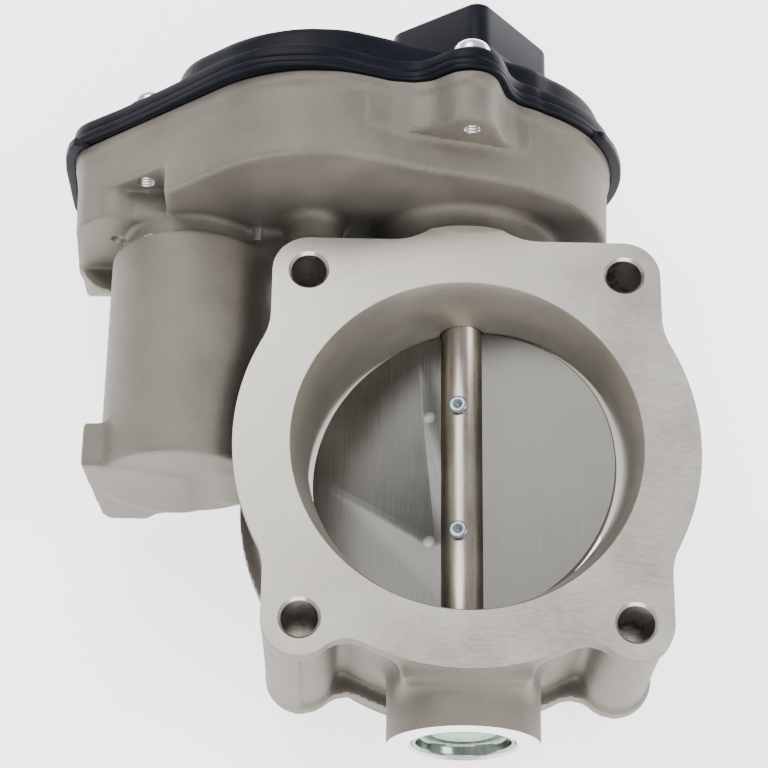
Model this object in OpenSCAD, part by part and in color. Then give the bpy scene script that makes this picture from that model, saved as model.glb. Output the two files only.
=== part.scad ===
// Electronic throttle body: cast aluminium housing, drive gears, motor and plate.
// The bore axis is +Z, coming out of the inlet flange; the shaft axis is +Y.
// The part stands on the end of its manifold spigot, at Z = 0.

/* [Bore and flanges] */
// throttle bore radius
bore_r = 39.4; // [30:0.1:50]
// radius of the inlet mouth at the front face
mouth_r = 43.4; // [34:0.1:56]
// depth of the inlet taper
taper_len = 13.2; // [4:0.1:20]
// overall length from the spigot end to the front face
body_len = 63; // [50:1:90]
// outer radius of both round flanges
flange_r = 57.6; // [50:0.1:75]
// thickness of the front flange
front_t = 5; // [3:0.5:10]
// height of the manifold face above the spigot end
rear_z = 13; // [6:1:20]
// thickness of the rear flange
rear_t = 4; // [3:0.5:10]
// outer radius of the barrel between the flanges
barrel_r = 54; // [45:0.5:57]
// outer radius of the manifold spigot
spigot_r = 55; // [45:0.5:57]

/* [Flange bolts] */
// bolt spacing across
bolt_dx = 80; // [60:0.1:110]
// bolt spacing along the shaft
bolt_dy = 92.2; // [60:0.1:120]
// bolt hole radius
bolt_hole_r = 4.25; // [3:0.05:6]
// wider first length of each bolt hole, radius
bolt_entry_r = 4.5; // [3:0.05:6.5]
// ear radius round each bolt
ear_r = 9.2; // [7:0.1:14]

/* [Shaft and plate] */
// height of the shaft axis above the spigot end
shaft_z = 40; // [25:0.5:60]
// throttle shaft radius
shaft_r = 5.6; // [3:0.1:8]
// throttle plate thickness
plate_t = 2.4; // [1.5:0.1:4]
// gap between the closed plate and the bore
plate_gap = 0.25; // [0.1:0.05:0.5]
// angle between the closed plate and the bore's cross section
closed_angle = 5; // [0:0.5:12]
// angle of the plate from closed, at rest
rest_angle = 9.5; // [0:0.5:20]
// half the distance between the two plate screws
plate_screw_y = 17; // [8:0.5:28]
// y of the lower boss face
low_boss_y = -70.5; // [-90:0.5:-60]
// lower boss radius
low_boss_r = 18.8; // [12:0.1:26]
// upper boss radius
up_boss_r = 24.2; // [14:0.1:30]

/* [Gear train] */
// gear module
gear_m = 1; // [0.6:0.1:1.5]
// teeth of the full circle the sector is cut from
sector_teeth = 62; // [40:1:90]
// teeth of the small idler gear
idler_small = 20; // [14:1:30]
// teeth of the large idler gear
idler_big = 56; // [30:1:80]
// teeth of the motor pinion
pinion_teeth = 14; // [10:1:20]
// idler axis, across
idler_x = -39; // [-60:0.5:-20]
// motor axis, across
motor_x = -71.2; // [-95:0.1:-50]
// tooth thickness taken off for running clearance
backlash = 0.16; // [0.05:0.01:0.3]

/* [Gear tray and cover] */
// underside of the gear tray
tray_y = 64.6; // [55:0.1:75]
// inner floor of the gear tray
floor_y = 67; // [58:0.5:80]
// top edge of the casting, where the gasket lies
rim_y = 87; // [75:0.5:100]
// tray wall thickness
wall = 3.5; // [2:0.1:6]
// top of the cover's low rim
cover_rim_y = 94; // [88:0.5:100]
// top of the cover's dome
dome_y = 101; // [95:0.5:110]
// end of the connector shroud
plug_y = 116; // [105:0.5:130]

/* [Motor] */
// motor can radius
can_r = 15; // [10:0.1:18]
// motor housing outer radius
motor_house_r = 21.2; // [16:0.1:26]
// closed end of the motor housing
motor_end_y = -3; // [-15:0.5:10]
// shoulder at the open end of the motor housing
motor_top_y = 59; // [45:0.5:63]

/* [Hidden] */
$fn = 64;
shaft_d = body_len - shaft_z;
mesh_si = gear_m * (sector_teeth + idler_small) / 2;
mesh_im = gear_m * (idler_big + pinion_teeth) / 2;
idler_d = shaft_d - sqrt(mesh_si * mesh_si - idler_x * idler_x);
motor_d = idler_d + sqrt(mesh_im * mesh_im - pow(motor_x - idler_x, 2));
ang_si = atan2(idler_d - shaft_d, idler_x);
ang_im = atan2(motor_d - idler_d, motor_x - idler_x);
plate_angle = closed_angle + rest_angle;
bolts = [for (sx = [-1, 1], sy = [-1, 1]) [sx * bolt_dx / 2, sy * bolt_dy / 2]];
cover_bolts = [[0.3, -23.7], [-83, 4.5], [26, 45], [-36, 51.5], [-92.5, 44]];
plug_c = [1.2, 3.4];
plug_a = 52.2;
end_c = [0, 25];
end_r = 39.3;
plug_size = [33, 30];
pin_pitch = [4.2, 5];

// ---- placing helpers ----

// extrudes a plan drawn as (x, depth behind the front face) along the shaft axis
module up_shaft(y0, y1) {
  translate([0, y0, body_len]) rotate([-90, 0, 0]) linear_extrude(y1 - y0) children();
}

// a round rod parallel to the shaft axis
module rod(x, d, y0, y1, r) {
  translate([x, y0, body_len - d]) rotate([-90, 0, 0]) cylinder(r = r, h = y1 - y0);
}

module ring(x, d, y0, y1, ro, ri) {
  difference() {
    rod(x, d, y0, y1, ro);
    rod(x, d, y0 - 1, y1 + 1, ri);
  }
}

// moves every side of a polygon inwards by k
function unit(v) = v / norm(v);
function inward(a, b) = let (u = unit(b - a)) [-u[1], u[0]];
function inset(p, k) = [for (i = [0:len(p) - 1])
  let (a = p[(i + len(p) - 1) % len(p)], b = p[i], c = p[(i + 1) % len(p)])
  let (n1 = inward(a, b), n2 = inward(b, c))
  b + k * (n1 + n2) / (1 + n1 * n2)];

// ---- gears ----

function inv_deg(t) = t * 180 / PI - atan(t);
function half_at(n, r) = let (rb = gear_m * n / 2 * cos(20))
  let (hp = 90 / n - backlash / 2 / (gear_m * n / 2) * 180 / PI)
  let (t = sqrt(max(0, pow(r / rb, 2) - 1)))
  hp + inv_deg(tan(20)) - inv_deg(t);
function polar(r, a) = [r * cos(a), r * sin(a)];
function tooth(n, a) = let (rp = gear_m * n / 2, ra = rp + 0.8 * gear_m)
  let (rf = rp - 1.1 * gear_m, rb = max(rp * cos(20), rf + 0.1))
  let (rs = [rb, rb + (ra - rb) * 0.35, rb + (ra - rb) * 0.7, ra])
  concat([polar(rf, a - half_at(n, rb) - 0.3)],
    [for (r = rs) polar(r, a - half_at(n, r))],
    [for (k = [3:-1:0]) polar(rs[k], a + half_at(n, rs[k]))],
    [polar(rf, a + half_at(n, rb) + 0.3)]);
function teeth(n, a0, i0, i1) = [for (i = [i0:i1]) each tooth(n, a0 + i * 360 / n)];

module gear_plan(n, a0) {
  polygon(teeth(n, a0, 0, n - 1));
}

// ---- outlines ----

function fillet_y(f) = sqrt(pow(flange_r + f, 2) - pow(bolt_dx / 2 + ear_r + f, 2));

// web between the round flange and one bottom ear, with its hollow fillet
module ear_web(sx) {
  f = 8;
  ex = bolt_dx / 2;
  ey = -bolt_dy / 2;
  c = norm([ex, ey]);
  ra = flange_r + f;
  rb = ear_r + f;
  t = acos((c * c + ra * ra - rb * rb) / (2 * c * ra));
  a = atan2(ey, ex) - t;
  fc = polar(ra, a);
  mirror([sx > 0 ? 0 : 1, 0]) difference() {
    polygon([polar(flange_r - 3, a), fc, [ex, ey], polar(flange_r - 3, a + t)]);
    translate(fc) circle(r = f);
  }
}

// flange outline, grown by k
module flange_plan(k) {
  f = 16;
  side_x = bolt_dx / 2 + ear_r + k;
  top_y = bolt_dy / 2 + ear_r + k;
  fy = fillet_y(f);
  circle(r = flange_r + k, $fn = 96);
  for (b = bolts)
    translate(b) circle(r = ear_r + k);
  for (sx = [-1, 1]) {
    translate([sx * 30 - 10, 0]) square([20, top_y]);
    ear_web(sx);
    for (sy = [-1, 1])
      difference() {
        polygon([[sx * 30, sy * 20], [sx * (side_x + 1.8), sy * (fy - 7.5)], [sx * side_x, sy * fy],
          [sx * side_x, sy * bolt_dy / 2], [sx * 30, sy * bolt_dy / 2]]);
        translate([sx * (side_x + f), sy * fy]) circle(r = f);
      }
  }
  square([2 * (bolt_dx / 2 - 5), top_y * 2 - 5], center = true);
}

tray_poly = [[-104.4, 43], [-102.8, 18.6], [-100.6, 13.4], [-61.3, -19.9], [-55, -23.9],
  [-49.1, -26.3], [-43.2, -27.7], [-37.3, -27.95], [-31.5, -27.5], [-25.6, -25.7],
  [-19.5, -23.35], [-13.3, -20.8], [-6.5, -18.7], [4.4, -16.1], [11.3, -13.6],
  [17.7, -10.2], [30, 10], [20, 58.5], [-86, 58.5], [-99, 54]];
boss_poly = [[-20, -10], [-19.8, -23.3], [-15, -23.15], [-12.1, -23.55], [-9.1, -24.6],
  [-6.4, -26.75], [-3.9, -28.6], [-0.5, -29.4], [3, -28.3], [5.2, -26.2], [6.4, -24],
  [7.5, -20.4], [8.8, -17.2], [12.1, -13.4], [12, -8]];
cover_poly = [[-106, 46], [-105.1, 19], [-104.3, 14.6], [-102.6, 11.2], [-100, 8.6],
  [-90.8, 1.5], [-77.5, -10], [-67.8, -19], [-61.4, -24.4], [-55.3, -28.2],
  [-49.3, -30.2], [-43.3, -30.9], [-37.3, -30.9], [-31.4, -29.5], [-25.4, -26.8],
  [-20.5, -25], [-16.5, -24.3], [-13.3, -24.5], [-10.3, -26.1], [-7, -28.8],
  [-4.2, -30.7], [-1, -31.4], [2.2, -31.2], [5, -30], [7.4, -27.6], [9, -24.3],
  [10.4, -20], [12, -17], [14.4, -14.8], [17.9, -12.8], [30, 10], [20, 60.7],
  [-88, 60.7], [-101, 55.5]];

// round right end, cut off straight at the back
module end_plan(r, back) {
  intersection() {
    translate(end_c) circle(r = r, $fn = 96);
    translate([-50, -50]) square([100, 50 + back]);
  }
}

// plan of the gear tray's walls, k inside the outer face
module tray_plan(k) {
  polygon(inset(tray_poly, k));
  end_plan(end_r - k, 58.5 - k);
}

// plan of the cover's rim, k inside the outer face
module cover_plan(k) {
  polygon(inset(cover_poly, k));
  end_plan(end_r + 2.2 - k, 60.7 - k);
}

// the same with the screw boss that stands out of the front wall
module rim_plan(k) {
  tray_plan(k);
  translate(cover_bolts[0]) circle(r = 5.7 - k);
  polygon(inset(boss_poly, k));
}

// plan of the cover's dome, k inside the outer face
module dome_plan(k) {
  difference() {
    intersection() {
      tray_plan(0.4 + k);
      union() {
        translate([-110, -60]) square([130, 140]);
        end_plan(end_r - 1.2 - k, 58);
      }
    }
    translate([-130, -60]) square([54.5 + k, 140]);
    translate(cover_bolts[0]) circle(r = 6 + k);
    for (i = [2, 3]) translate(cover_bolts[i]) circle(r = 8 + k);
  }
}

// overhang of the cover's rim at the left end, k inside the outer face
module left_lip(k) {
  polygon([[-99, 10 + k], [-103.4, 10 + k], [-105, 12.6 + k / 2], [-106.4 + k, 17.6],
    [-107 + k, 24], [-107 + k, 45], [-106 + k, 53 - k / 2], [-102 + k, 57 - k], [-98, 58 - k]]);
}

// the same at the right end
module right_lip(k) {
  intersection() {
    translate(end_c) circle(r = end_r + 3.9 - k, $fn = 96);
    polygon([[20, 10 + k], [60, -17 + k], [60, 55 - k], [20, 40 - k]]);
  }
}

// corner pocket under the left screw boss
module pocket_plan(g) {
  polygon([[-98 - g, -20], [-98 - g, 9 + g], [-91, 8.4 + g], [-86, 9.4 + g],
    [-77.4 + g, 8.4 + g], [-77.4 + g, -20]]);
}

// plan of the connector shroud, k inside the outer face
module plug_plan(k) {
  translate(plug_c) rotate(plug_a) {
    square([plug_size[0] - 2 * k, plug_size[1] - 8], center = true);
    square([plug_size[0] - 8, plug_size[1] - 2 * k], center = true);
    for (sx = [-1, 1], sy = [-1, 1])
      translate([sx * (plug_size[0] / 2 - 4), sy * (plug_size[1] / 2 - 4)])
        circle(r = 4 - k);
  }
}

// ---- fixed parts ----

module housing_solid() {
  // flanges, barrel and spigot
  translate([0, 0, body_len - front_t]) linear_extrude(front_t) flange_plan(0);
  translate([0, 0, rear_z]) linear_extrude(rear_t) flange_plan(0);
  cylinder(r = spigot_r, h = rear_z + 1, $fn = 96);
  translate([0, 0, rear_z]) cylinder(r = barrel_r, h = body_len - rear_z - 1, $fn = 96);
  for (b = bolts)
    translate([b[0], b[1], rear_z]) cylinder(r = ear_r - 1, h = body_len - rear_z - 1);
  for (sx = [-1, 1], sy = [-1, 1])
    translate([sx * 37 - 6, sy * 37 - 9, rear_z]) cube([12, 18, body_len - rear_z - 1]);
  translate([0, 0, rear_z]) linear_extrude(body_len - rear_z) intersection() {
    flange_plan(0);
    translate([-60, -60]) square([20, 34]);
  }
  // shaft bosses
  rod(0, shaft_d, low_boss_y, -40, low_boss_r);
  rod(0, shaft_d, 40, tray_y + 1, up_boss_r);
  translate([-low_boss_r + 2.4, -61, body_len - 8]) cube([2 * low_boss_r - 4.8, 14, 6]);
  // motor housing with its corner lug and the web to the barrel
  rod(motor_x, motor_d, motor_end_y, motor_top_y, motor_house_r);
  rod(motor_x, motor_d, motor_top_y - 1, tray_y + 1, can_r + 2.7);
  up_shaft(motor_end_y, 9)
    polygon([[-96.2, 13.6], [-84.4, 13.6], [-70, 20], [-70, 44], [-79.4, 47.8],
      [-82.2, 51.6], [-92.4, 51.6], [-94, 48]]);
  translate([-62, motor_end_y, 27]) cube([30, tray_y - motor_end_y, 22]);
  // boss of the idler pin and the web beside it
  rod(idler_x, idler_d, 28, tray_y + 1, 7.3);
  translate([-58, 30, 41]) cube([20, tray_y - 29, 6]);
  // gear tray
  up_shaft(tray_y, 75) difference() {
    tray_plan(0);
    pocket_plan(0);
  }
  up_shaft(73, rim_y) tray_plan(0);
  up_shaft(74, rim_y) rim_plan(0);
  up_shaft(rim_y - 2.4, rim_y) rim_plan(-0.8);
  intersection() {
    translate([0, 0, 6]) linear_extrude(19.7) polygon([[-103.4, tray_y + 1], [-102.6, 64],
      [-101.9, 62.8], [-100.6, 61.1], [-99, 59.6], [-97.2, 58.5], [-94.4, 57.6],
      [-82, 57.2], [-82, tray_y + 1]]);
    translate([-110, 0, 0]) rotate([90, 0, 90]) linear_extrude(30)
      polygon([[56.4, 26], [tray_y + 1.2, 6.2], [tray_y + 1.2, 26]]);
  }
}

module housing_cuts() {
  // air bore, inlet taper and the small edge break at the spigot end
  translate([0, 0, -1]) cylinder(r = bore_r, h = body_len + 2, $fn = 128);
  translate([0, 0, body_len - taper_len])
    cylinder(r1 = bore_r, r2 = mouth_r, h = taper_len, $fn = 128);
  translate([0, 0, body_len - 0.01]) cylinder(r = mouth_r, h = 1, $fn = 128);
  translate([0, 0, -0.01]) cylinder(r1 = bore_r + 1, r2 = bore_r, h = 1, $fn = 128);
  // core relief in the spigot
  translate([0, 0, -1]) difference() {
    cylinder(r = 50.5, h = 10, $fn = 96);
    translate([0, 0, -1]) cylinder(r = 43.5, h = 12, $fn = 96);
  }
  // nothing stands in front of the machined front face
  translate([-60, -75, body_len]) cube([120, 133.4, 8]);
  // flange bolts
  for (b = bolts) translate([b[0], b[1], 0]) {
    translate([0, 0, rear_z - 2]) cylinder(r = bolt_hole_r, h = body_len);
    translate([0, 0, body_len - 12]) cylinder(r = bolt_entry_r, h = 14);
    translate([0, 0, body_len - 0.75]) cylinder(r1 = bolt_entry_r, r2 = 5.25, h = 0.76);
  }
  // shaft passage, bearing and seal seats, plug seat
  rod(0, shaft_d, -60, 64, shaft_r + 0.3);
  rod(0, shaft_d, 50, floor_y + 1, 9);
  rod(0, shaft_d, -64, -50, 9);
  rod(0, shaft_d, low_boss_y - 1, -63.9, 12.75);
  // gear tray
  difference() {
    up_shaft(floor_y, rim_y + 1) tray_plan(wall);
    up_shaft(floor_y - 1, 75.2) pocket_plan(1.5);
    up_shaft(floor_y - 1, rim_y + 2)
      for (c = cover_bolts) translate(c) circle(r = 5.2);
    rod(idler_x, idler_d, floor_y - 1, 73, 5.6);
    ring(0, shaft_d, floor_y - 1, 68.5, 12.2, 9);
  }
  // motor bore
  rod(motor_x, motor_d, 0.5, floor_y + 1, can_r + 0.3);
  // pin and screw holes
  rod(idler_x, idler_d, 56, 74, 3.02);
  for (c = cover_bolts) rod(c[0], c[1], 55, rim_y + 1, 2.55);
  for (s = [-1, 1])
    rod(motor_x + s * 17.32, motor_d - s * 10, 60.5, floor_y + 1, 1.55);
  rod(polar(24, 298)[0], shaft_d + polar(24, 298)[1], 64.5, floor_y + 1, 2.02);
  // small blind tooling hole in the underside of the tray's left end
  rod(-91, 20.6, tray_y - 1, tray_y + 1.4, 2.1);
}

module housing() {
  color([0.66, 0.63, 0.58]) difference() {
    housing_solid();
    housing_cuts();
  }
}

module gear_cover() {
  color([0.06, 0.065, 0.08]) difference() {
    union() {
      // stepped rim round the casting's edge
      up_shaft(rim_y + 0.6, 88.6) cover_plan(0.25);
      up_shaft(88.5, 91.2) cover_plan(0);
      up_shaft(91.1, cover_rim_y) cover_plan(0.5);
      // lips over both ends
      up_shaft(rim_y - 0.2, 89.4) left_lip(0);
      up_shaft(rim_y - 0.2, 89.4) right_lip(0);
      // domed part over the gears
      up_shaft(cover_rim_y - 1, dome_y) dome_plan(0);
      for (c = cover_bolts) rod(c[0], c[1], cover_rim_y - 1, 95, 5.6);
      up_shaft(dome_y - 1, plug_y) plug_plan(0);
      up_shaft(dome_y - 1, dome_y + 1.6) plug_plan(-1.4);
    }
    // room under the cover
    up_shaft(rim_y - 1, rim_y + 0.6) rim_plan(-1.3);
    up_shaft(rim_y, 88.4) rim_plan(-0.3);
    difference() {
      up_shaft(88.2, 91.9) tray_plan(wall + 0.4);
      for (c = cover_bolts) rod(c[0], c[1], 87, 93, 5.2);
      rod(idler_x, idler_d, 87, 93, 5.4);
    }
    difference() {
      up_shaft(91.8, dome_y - 2.5) difference() {
        dome_plan(2.6);
        for (c = cover_bolts) translate(c) circle(r = 5.2);
      }
      rod(idler_x, idler_d, 90, dome_y, 5.4);
    }
    rod(idler_x, idler_d, 88, 96, 3.05);
    // plug socket
    up_shaft(dome_y + 2, plug_y + 1) plug_plan(2.2);
    for (ix = [-1:1], iy = [-0.5, 0.5])
      translate([plug_c[0], 0, body_len - plug_c[1]]) rotate([0, plug_a * -1, 0])
        translate([ix * pin_pitch[0], dome_y, iy * pin_pitch[1]]) cube([1.1, 8, 1.1], center = true);
    for (c = cover_bolts) rod(c[0], c[1], 87, 96, 2.8);
  }
}

module cover_gasket() {
  color([0.03, 0.03, 0.03]) up_shaft(rim_y, 88.4) difference() {
    rim_plan(0.25);
    difference() {
      tray_plan(wall - 0.3);
      for (c = cover_bolts) translate(c) circle(r = 5.2);
    }
    for (c = cover_bolts) translate(c) circle(r = 2.9);
  }
}

module cover_screws() {
  color([0.75, 0.78, 0.82])
    for (c = cover_bolts) {
      rod(c[0], c[1], 76, 96, 2.45);
      difference() {
        union() {
          rod(c[0], c[1], 95, 97.6, 4.7);
          translate([c[0], 97.5, body_len - c[1]]) rotate([-90, 0, 0])
            cylinder(r1 = 4.7, r2 = 3.5, h = 1.4);
        }
        translate([c[0], 97, body_len - c[1]]) rotate([-90, 0, 0])
          cylinder(r = 2.3, h = 4, $fn = 6);
      }
    }
}

module connector_pins() {
  color([0.78, 0.68, 0.42])
    for (ix = [-1:1], iy = [-0.5, 0.5])
      translate([plug_c[0], 0, body_len - plug_c[1]]) rotate([0, -plug_a, 0])
        translate([ix * pin_pitch[0] - 0.4, 92.6, iy * pin_pitch[1] - 0.4]) cube([0.8, 18.4, 0.8]);
}

module sensor_board() {
  color([0.08, 0.3, 0.14]) difference() {
    up_shaft(93, 94.6) polygon([[-20, -8], [10, -9], [24, 2], [26, 34], [-16, 34], [-20, 20]]);
    for (ix = [-1:1], iy = [-0.5, 0.5])
      translate([plug_c[0], 0, body_len - plug_c[1]]) rotate([0, -plug_a, 0])
        translate([ix * pin_pitch[0], 93.8, iy * pin_pitch[1]]) cube([1.1, 4, 1.1], center = true);
  }
  color([0.06, 0.065, 0.08])
    for (p = [[-14, 28], [20, 28]])
      rod(p[0], p[1], 94.5, dome_y - 2.5, 2);
}

module sensor_chip() {
  color([0.05, 0.05, 0.05]) {
    translate([-4, 91.2, shaft_z - 3.2]) cube([8, 1.8, 6.4]);
    for (i = [-3:3]) translate([i * 1.1 - 0.25, 92.2, shaft_z - 4.4]) cube([0.5, 0.8, 8.8]);
  }
}

module upper_bearing() {
  color([0.7, 0.7, 0.72]) difference() {
    ring(0, shaft_d, 55, 66, 8.97, shaft_r + 0.05);
    ring(0, shaft_d, 65, 67, 8, 6.6);
  }
}

module lower_bearing() {
  color([0.7, 0.7, 0.72]) difference() {
    ring(0, shaft_d, -63.8, -55, 8.97, shaft_r + 0.05);
    ring(0, shaft_d, -65, -63, 8, 6.6);
  }
}

module seal(y0) {
  difference() {
    ring(0, shaft_d, y0, y0 + 4.4, 8.95, shaft_r + 0.08);
    ring(0, shaft_d, y0 + 1.2, y0 + 5, 7.6, 6.6);
  }
}

module upper_seal() {
  color([0.08, 0.08, 0.08]) seal(50.3);
}

module lower_seal() {
  color([0.08, 0.08, 0.08]) seal(-54.8);
}

module bearing_plug() {
  color([0.62, 0.68, 0.62]) difference() {
    rod(0, shaft_d, low_boss_y + 0.4, -65.2, 12.7);
    rod(0, shaft_d, low_boss_y - 1, -66.8, 11.5);
  }
}

module return_spring() {
  color([0.62, 0.6, 0.56]) {
    for (i = [0:3])
      translate([0, 69.8 + i * 1.25, shaft_z]) rotate([-90, 0, 0])
        rotate_extrude($fn = 48) translate([10.6, 0]) circle(r = 0.72, $fn = 16);
    translate([10.4, 69.8, shaft_z - 13]) rotate([0, 0, 0]) cylinder(r = 0.7, h = 13, $fn = 16);
  }
}

module spring_sleeve() {
  color([0.75, 0.72, 0.62]) {
    ring(0, shaft_d, 68.5, 74.3, 9.5, 8.6);
    ring(0, shaft_d, 68.5, 69, 12, 8.6);
  }
}

module stop_pin() {
  p = polar(24, 298);
  color([0.6, 0.6, 0.6]) {
    rod(p[0], shaft_d + p[1], 64.8, 79.6, 2);
    rod(p[0], shaft_d + p[1], floor_y, 68.4, 3);
  }
}

module idler_pin() {
  color([0.72, 0.72, 0.72]) difference() {
    rod(idler_x, idler_d, 56.4, 95.6, 3);
    ring(idler_x, idler_d, 95, 97, 4, 2.6);
  }
}

module idler_washer() {
  color([0.7, 0.62, 0.4]) ring(idler_x, idler_d, 73, 73.6, 5.4, 3.03);
}

// ---- motor ----

module motor_can() {
  color([0.5, 0.52, 0.54]) difference() {
    union() {
      rod(motor_x, motor_d, 2, 59, can_r);
      rod(motor_x, motor_d, 0.6, 2.1, 5);
    }
    rod(motor_x, motor_d, 3.4, 60, can_r - 1.4);
    rod(motor_x, motor_d, 0, 4, 1.65);
  }
}

module motor_magnets() {
  color([0.2, 0.2, 0.22]) up_shaft(12, 48) translate([motor_x, motor_d])
    difference() {
      circle(r = can_r - 1.45);
      circle(r = 11.4);
      square([8, 40], center = true);
    }
}

module motor_end_cap() {
  color([0.12, 0.12, 0.13]) difference() {
    rod(motor_x, motor_d, 59.1, 66.9, can_r - 0.3);
    rod(motor_x, motor_d, 58, 70, 1.66);
    rod(motor_x, motor_d, 58, 63.5, 9);
    motor_slots(1.2, 4.4);
  }
}

// the two blade positions, as bars of thickness t and width w
module motor_slots(t, w, y0 = 58, y1 = 68) {
  up_shaft(y0, y1) translate([motor_x, motor_d]) rotate(60)
    for (s = [-1, 1]) translate([12.2, s * 4.6]) square([t, w], center = true);
}

module motor_terminals() {
  color([0.8, 0.6, 0.3]) motor_slots(0.8, 4, 60, 80);
}

module motor_brushes() {
  color([0.15, 0.15, 0.15]) up_shaft(52.6, 57) translate([motor_x, motor_d])
    for (s = [-1, 1]) translate([s * 8.4 - 3, -1.6]) square([6, 3.2]);
}

module motor_plate() {
  color([0.7, 0.7, 0.68]) up_shaft(floor_y, floor_y + 1.5) difference() {
    translate([motor_x, motor_d]) rotate(-30) {
      square([40, 10], center = true);
      intersection() {
        circle(r = 15.5);
        square([40, 20], center = true);
      }
      for (s = [-1, 1]) translate([s * 20, 0]) circle(r = 5);
    }
    translate([motor_x, motor_d]) circle(r = 4);
    for (s = [-1, 1]) translate([motor_x + s * 17.32, motor_d - s * 10]) circle(r = 1.8);
  }
}

module motor_screws() {
  color([0.75, 0.75, 0.78])
    for (s = [-1, 1]) difference() {
      union() {
        rod(motor_x + s * 17.32, motor_d - s * 10, 61, floor_y + 2, 1.5);
        rod(motor_x + s * 17.32, motor_d - s * 10, floor_y + 1.5, floor_y + 3.8, 3);
      }
      translate([motor_x + s * 17.32, floor_y + 2.4, body_len - motor_d + s * 10])
        rotate([-90, 0, 0]) cylinder(r = 1.3, h = 2, $fn = 6);
    }
}

module armature() {
  color([0.45, 0.42, 0.4]) up_shaft(15, 45) translate([motor_x, motor_d]) difference() {
    circle(r = 10.9);
    circle(r = 1.61);
    for (i = [0:4]) rotate(i * 72) {
      translate([9, -0.6]) square([3, 1.2]);
      translate([7.2, 0]) circle(r = 2.4, $fn = 24);
    }
  }
}

module commutator() {
  color([0.75, 0.42, 0.25]) up_shaft(50, 58.4) translate([motor_x, motor_d]) difference() {
    circle(r = 5);
    circle(r = 1.61);
    for (i = [0:4]) rotate(i * 72 + 36) translate([3, -0.25]) square([3, 0.5]);
  }
}

module motor_shaft() {
  color([0.75, 0.75, 0.77]) rod(motor_x, motor_d, 1, 88.6, 1.6);
}

module motor_pinion() {
  color([0.72, 0.6, 0.35]) up_shaft(81.4, 88.4) translate([motor_x, motor_d]) difference() {
    gear_plan(pinion_teeth, ang_im + 180 + 180 / pinion_teeth);
    circle(r = 1.61);
  }
}

// ---- idler ----

module idler_gear() {
  color([0.82, 0.8, 0.74]) difference() {
    union() {
      up_shaft(73.9, 82.2) translate([idler_x, idler_d])
        gear_plan(idler_small, ang_si + 180 + 180 / idler_small);
      up_shaft(82, 87.4) translate([idler_x, idler_d]) gear_plan(idler_big, ang_im);
    }
    ring(idler_x, idler_d, 84.4, 90, 24.5, 12);
    rod(idler_x, idler_d, 70, 90, 3.06);
    for (i = [0:5])
      rod(idler_x + 18 * cos(i * 60), idler_d + 18 * sin(i * 60), 80, 90, 4);
  }
}

// ---- throttle ----

module throttle_shaft() {
  color([0.6, 0.57, 0.52]) difference() {
    rod(0, shaft_d, -64.2, 82, shaft_r);
    // slot of the plate
    translate([0, 0, shaft_z]) rotate([0, -plate_angle, 0])
      cube([3 * shaft_r, 79.6, plate_t + 0.1], center = true);
    // screw holes and their flats
    for (s = [-1, 1]) translate([0, s * plate_screw_y, shaft_z]) rotate([0, -plate_angle, 0]) {
      translate([0, 0, -9]) cylinder(r = 2.05, h = 18);
      translate([0, 0, -9]) cylinder(r = 4, h = 4.6);
    }
    // drive flats under the sector gear
    for (s = [-1, 1]) translate([s * (shaft_r + 3.9), 79, shaft_z]) cube([10, 8, 20], center = true);
    // centre drillings of both ends
    translate([0, -65, shaft_z]) rotate([-90, 0, 0]) cylinder(r = 1.6, h = 4);
  }
}

// flat disc that fills the bore when it is tilted by closed_angle
module throttle_plate() {
  color([0.62, 0.61, 0.58]) translate([0, 0, shaft_z]) rotate([0, -rest_angle, 0]) difference() {
    intersection() {
      cylinder(r = bore_r - plate_gap, h = 30, center = true, $fn = 128);
      rotate([0, -closed_angle, 0]) cube([90, 90, plate_t], center = true);
    }
    rotate([0, -closed_angle, 0]) for (s = [-1, 1])
      translate([0, s * plate_screw_y, -3]) cylinder(r = 2.05, h = 6);
  }
}

module plate_screws() {
  color([0.55, 0.58, 0.62])
    for (s = [-1, 1]) translate([0, s * plate_screw_y, shaft_z]) rotate([0, -plate_angle, 0])
      difference() {
        union() {
          translate([0, 0, -5]) cylinder(r = 2, h = 11.4);
          translate([0, 0, -6.6]) cylinder(r = 3.8, h = 2.2);
          translate([0, 0, 5.7]) cylinder(r1 = 2, r2 = 2.4, h = 0.5);
          translate([0, 0, 6.15]) cylinder(r1 = 2.4, r2 = 1.9, h = 0.4);
        }
        translate([0, 0, 6]) cylinder(r = 0.7, h = 2);
        translate([-0.5, -2.5, -7]) cube([1, 5, 1.2]);
        translate([-2.5, -0.5, -7]) cube([5, 1, 1.2]);
      }
}

module sector_gear() {
  color([0.85, 0.83, 0.78]) difference() {
    union() {
      up_shaft(75, 80) translate([0, shaft_d])
        polygon(concat([[0, 0]], teeth(sector_teeth, ang_si, -3, 14)));
      rod(0, shaft_d, 74.6, 84, 8);
      up_shaft(75, 80) translate([0, shaft_d]) circle(r = 12);
    }
    // keyed seat on the shaft
    difference() {
      rod(0, shaft_d, 70, 82, shaft_r + 0.02);
      for (s = [-1, 1]) translate([s * (shaft_r + 3.95), 79, shaft_z]) cube([10, 6.4, 20], center = true);
    }
    rod(0, shaft_d, 82, 85, 6.2);
    // lightening slots
    up_shaft(74, 81) translate([0, shaft_d])
      for (a = [0, 22, 44, 66]) rotate(ang_si - 1 + a) translate([20.5, 0]) circle(r = 3.2);
  }
}

module sensor_magnet() {
  color([0.25, 0.25, 0.27]) ring(0, shaft_d, 82.1, 85, 6.1, 3);
}

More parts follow.
